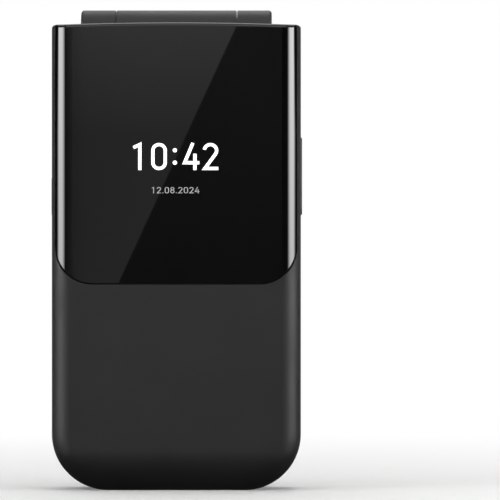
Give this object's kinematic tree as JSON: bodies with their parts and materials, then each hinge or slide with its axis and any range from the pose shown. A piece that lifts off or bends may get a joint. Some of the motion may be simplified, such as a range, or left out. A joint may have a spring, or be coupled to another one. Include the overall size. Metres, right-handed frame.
{
  "type": "flip phone",
  "caption": "Folding clamshell phone: glossy-windowed lid hinged over a keypad base, with a lift-off rounded battery cover.",
  "frame": {"origin": "middle of the bottom end's bounding rectangle, phone closed and standing upright", "axes": "+Z from the bottom end up to the hinge, -Y out of the lid's front, +Y out of the battery cover, +X to the right seen from the lid side"},
  "size_m": [0.0552, 0.0186, 0.105],
  "materials": {
    "charcoal_abs": "fine matt charcoal",
    "frame_abs": "satin grey rim",
    "gloss_cover": "gloss black",
    "gloss_window": "gloss black window",
    "display_module": "dark display",
    "cover_glass": "black-bordered glass",
    "ring_finish": "satin ring",
    "side_button": "matt",
    "key_plastic": "satin black keys",
    "silicone": "silicone",
    "dome_film": "polyester film",
    "circuit_board": "solder mask",
    "tinned_steel": "tinned",
    "port_plastic": "black moulding",
    "mesh_steel": "fine mesh",
    "camera_glass": "coated glass",
    "flash_phosphor": "yellow phosphor",
    "gold_contact": "gold plate",
    "screw_steel": "zinc plate",
    "battery_wrap": "plastic wrap",
    "magnet_nickel": "nickel plate",
    "hinge_steel": "steel",
    "flex_film": "polyimide film"
  },
  "bodies": {
    "base": {"base_front_shell": "charcoal_abs", "base_rear_frame": "frame_abs", "main_board": "circuit_board", "shield_cans": "tinned_steel", "dome_sheet": "dome_film", "keypad_mat": "silicone", "usb_connector": "tinned_steel", "audio_jack": "port_plastic", "loudspeaker": "port_plastic", "vibration_motor": "tinned_steel", "microphone": "tinned_steel", "camera_module": "port_plastic", "camera_window": "camera_glass", "flash_led": "flash_phosphor", "sim_card_socket": "tinned_steel", "memory_card_socket": "tinned_steel", "battery_contacts": "gold_contact", "antenna_carrier": "port_plastic", "base_screws": "screw_steel", "hinge_cartridge": "hinge_steel", "hinge_spring": "hinge_steel", "hinge_flex_cable": "flex_film", "battery": "battery_wrap"},
    "lid": {"lid_outer_shell": "charcoal_abs", "lid_window": "gloss_window", "outer_display": "display_module", "lid_board": "circuit_board", "lid_inner_shell": "charcoal_abs", "inner_display": "display_module", "display_glass": "cover_glass", "earpiece_speaker": "port_plastic", "earpiece_mesh": "mesh_steel", "lid_bumpers": "silicone", "lid_screws": "screw_steel", "closing_magnet": "magnet_nickel", "hinge_shaft": "hinge_steel", "hinge_pin": "hinge_steel", "lid_flex_cable": "flex_film"},
    "cover": {"battery_cover": "gloss_cover", "speaker_mesh": "mesh_steel"},
    "key_1": {"key_1": "key_plastic"},
    "key_2": {"key_2": "key_plastic"},
    "key_3": {"key_3": "key_plastic"},
    "key_4": {"key_4": "key_plastic"},
    "key_5": {"key_5": "key_plastic"},
    "key_6": {"key_6": "key_plastic"},
    "key_7": {"key_7": "key_plastic"},
    "key_8": {"key_8": "key_plastic"},
    "key_9": {"key_9": "key_plastic"},
    "key_star": {"key_star": "key_plastic"},
    "key_0": {"key_0": "key_plastic"},
    "key_hash": {"key_hash": "key_plastic"},
    "call_key": {"call_key": "key_plastic"},
    "end_key": {"end_key": "key_plastic"},
    "left_soft_key": {"left_soft_key": "key_plastic"},
    "right_soft_key": {"right_soft_key": "key_plastic"},
    "scroll_ring": {"scroll_ring": "ring_finish"},
    "select_key": {"select_key": "key_plastic"},
    "volume_key": {"volume_key": "side_button"},
    "side_key": {"side_key": "side_button"}
  },
  "joints": [
    {"name": "clamshell_hinge", "type": "hinge", "parent": "base", "child": "lid", "pos_m": [0, -0.002, 0.1013], "axis": [-1, 0, 0], "range_deg": [0, 150]},
    {"name": "cover_lift", "type": "slide", "parent": "base", "child": "cover", "axis": [0, 1, 0], "range_m": [0, 0.012]},
    {"name": "scroll_tilt", "type": "hinge", "parent": "base", "child": "scroll_ring", "pos_m": [0, -0.0006, 0.06725], "axis": [1, 0, 0], "range_deg": [-1.2, 1.2], "stiffness_Nm_per_rad": 0.04},
    {"name": "select_press", "type": "slide", "parent": "base", "child": "select_key", "axis": [0, 1, 0], "range_m": [0, 0.00025], "stiffness_N_per_m": 400, "springref_m": -0.00005},
    {"name": "volume_rock", "type": "hinge", "parent": "base", "child": "volume_key", "pos_m": [0.0265, 0.001, 0.0687], "axis": [0, 1, 0], "range_deg": [-2, 2], "stiffness_Nm_per_rad": 0.03},
    {"name": "side_key_press", "type": "slide", "parent": "base", "child": "side_key", "axis": [1, 0, 0], "range_m": [0, 0.00025], "stiffness_N_per_m": 400, "springref_m": -0.00005},
    {"name": "key_1_press", "type": "slide", "parent": "base", "child": "key_1", "axis": [0, 1, 0], "range_m": [0, 0.00025], "stiffness_N_per_m": 400, "springref_m": -0.00005},
    {"name": "key_2_press", "type": "slide", "parent": "base", "child": "key_2", "axis": [0, 1, 0], "range_m": [0, 0.00025], "stiffness_N_per_m": 400, "springref_m": -0.00005},
    {"name": "key_3_press", "type": "slide", "parent": "base", "child": "key_3", "axis": [0, 1, 0], "range_m": [0, 0.00025], "stiffness_N_per_m": 400, "springref_m": -0.00005},
    {"name": "key_4_press", "type": "slide", "parent": "base", "child": "key_4", "axis": [0, 1, 0], "range_m": [0, 0.00025], "stiffness_N_per_m": 400, "springref_m": -0.00005},
    {"name": "key_5_press", "type": "slide", "parent": "base", "child": "key_5", "axis": [0, 1, 0], "range_m": [0, 0.00025], "stiffness_N_per_m": 400, "springref_m": -0.00005},
    {"name": "key_6_press", "type": "slide", "parent": "base", "child": "key_6", "axis": [0, 1, 0], "range_m": [0, 0.00025], "stiffness_N_per_m": 400, "springref_m": -0.00005},
    {"name": "key_7_press", "type": "slide", "parent": "base", "child": "key_7", "axis": [0, 1, 0], "range_m": [0, 0.00025], "stiffness_N_per_m": 400, "springref_m": -0.00005},
    {"name": "key_8_press", "type": "slide", "parent": "base", "child": "key_8", "axis": [0, 1, 0], "range_m": [0, 0.00025], "stiffness_N_per_m": 400, "springref_m": -0.00005},
    {"name": "key_9_press", "type": "slide", "parent": "base", "child": "key_9", "axis": [0, 1, 0], "range_m": [0, 0.00025], "stiffness_N_per_m": 400, "springref_m": -0.00005},
    {"name": "key_star_press", "type": "slide", "parent": "base", "child": "key_star", "axis": [0, 1, 0], "range_m": [0, 0.00025], "stiffness_N_per_m": 400, "springref_m": -0.00005},
    {"name": "key_0_press", "type": "slide", "parent": "base", "child": "key_0", "axis": [0, 1, 0], "range_m": [0, 0.00025], "stiffness_N_per_m": 400, "springref_m": -0.00005},
    {"name": "key_hash_press", "type": "slide", "parent": "base", "child": "key_hash", "axis": [0, 1, 0], "range_m": [0, 0.00025], "stiffness_N_per_m": 400, "springref_m": -0.00005},
    {"name": "call_key_press", "type": "slide", "parent": "base", "child": "call_key", "axis": [0, 1, 0], "range_m": [0, 0.00025], "stiffness_N_per_m": 400, "springref_m": -0.00005},
    {"name": "end_key_press", "type": "slide", "parent": "base", "child": "end_key", "axis": [0, 1, 0], "range_m": [0, 0.00025], "stiffness_N_per_m": 400, "springref_m": -0.00005},
    {"name": "left_soft_key_press", "type": "slide", "parent": "base", "child": "left_soft_key", "axis": [0, 1, 0], "range_m": [0, 0.00025], "stiffness_N_per_m": 400, "springref_m": -0.00005},
    {"name": "right_soft_key_press", "type": "slide", "parent": "base", "child": "right_soft_key", "axis": [0, 1, 0], "range_m": [0, 0.00025], "stiffness_N_per_m": 400, "springref_m": -0.00005}
  ]
}
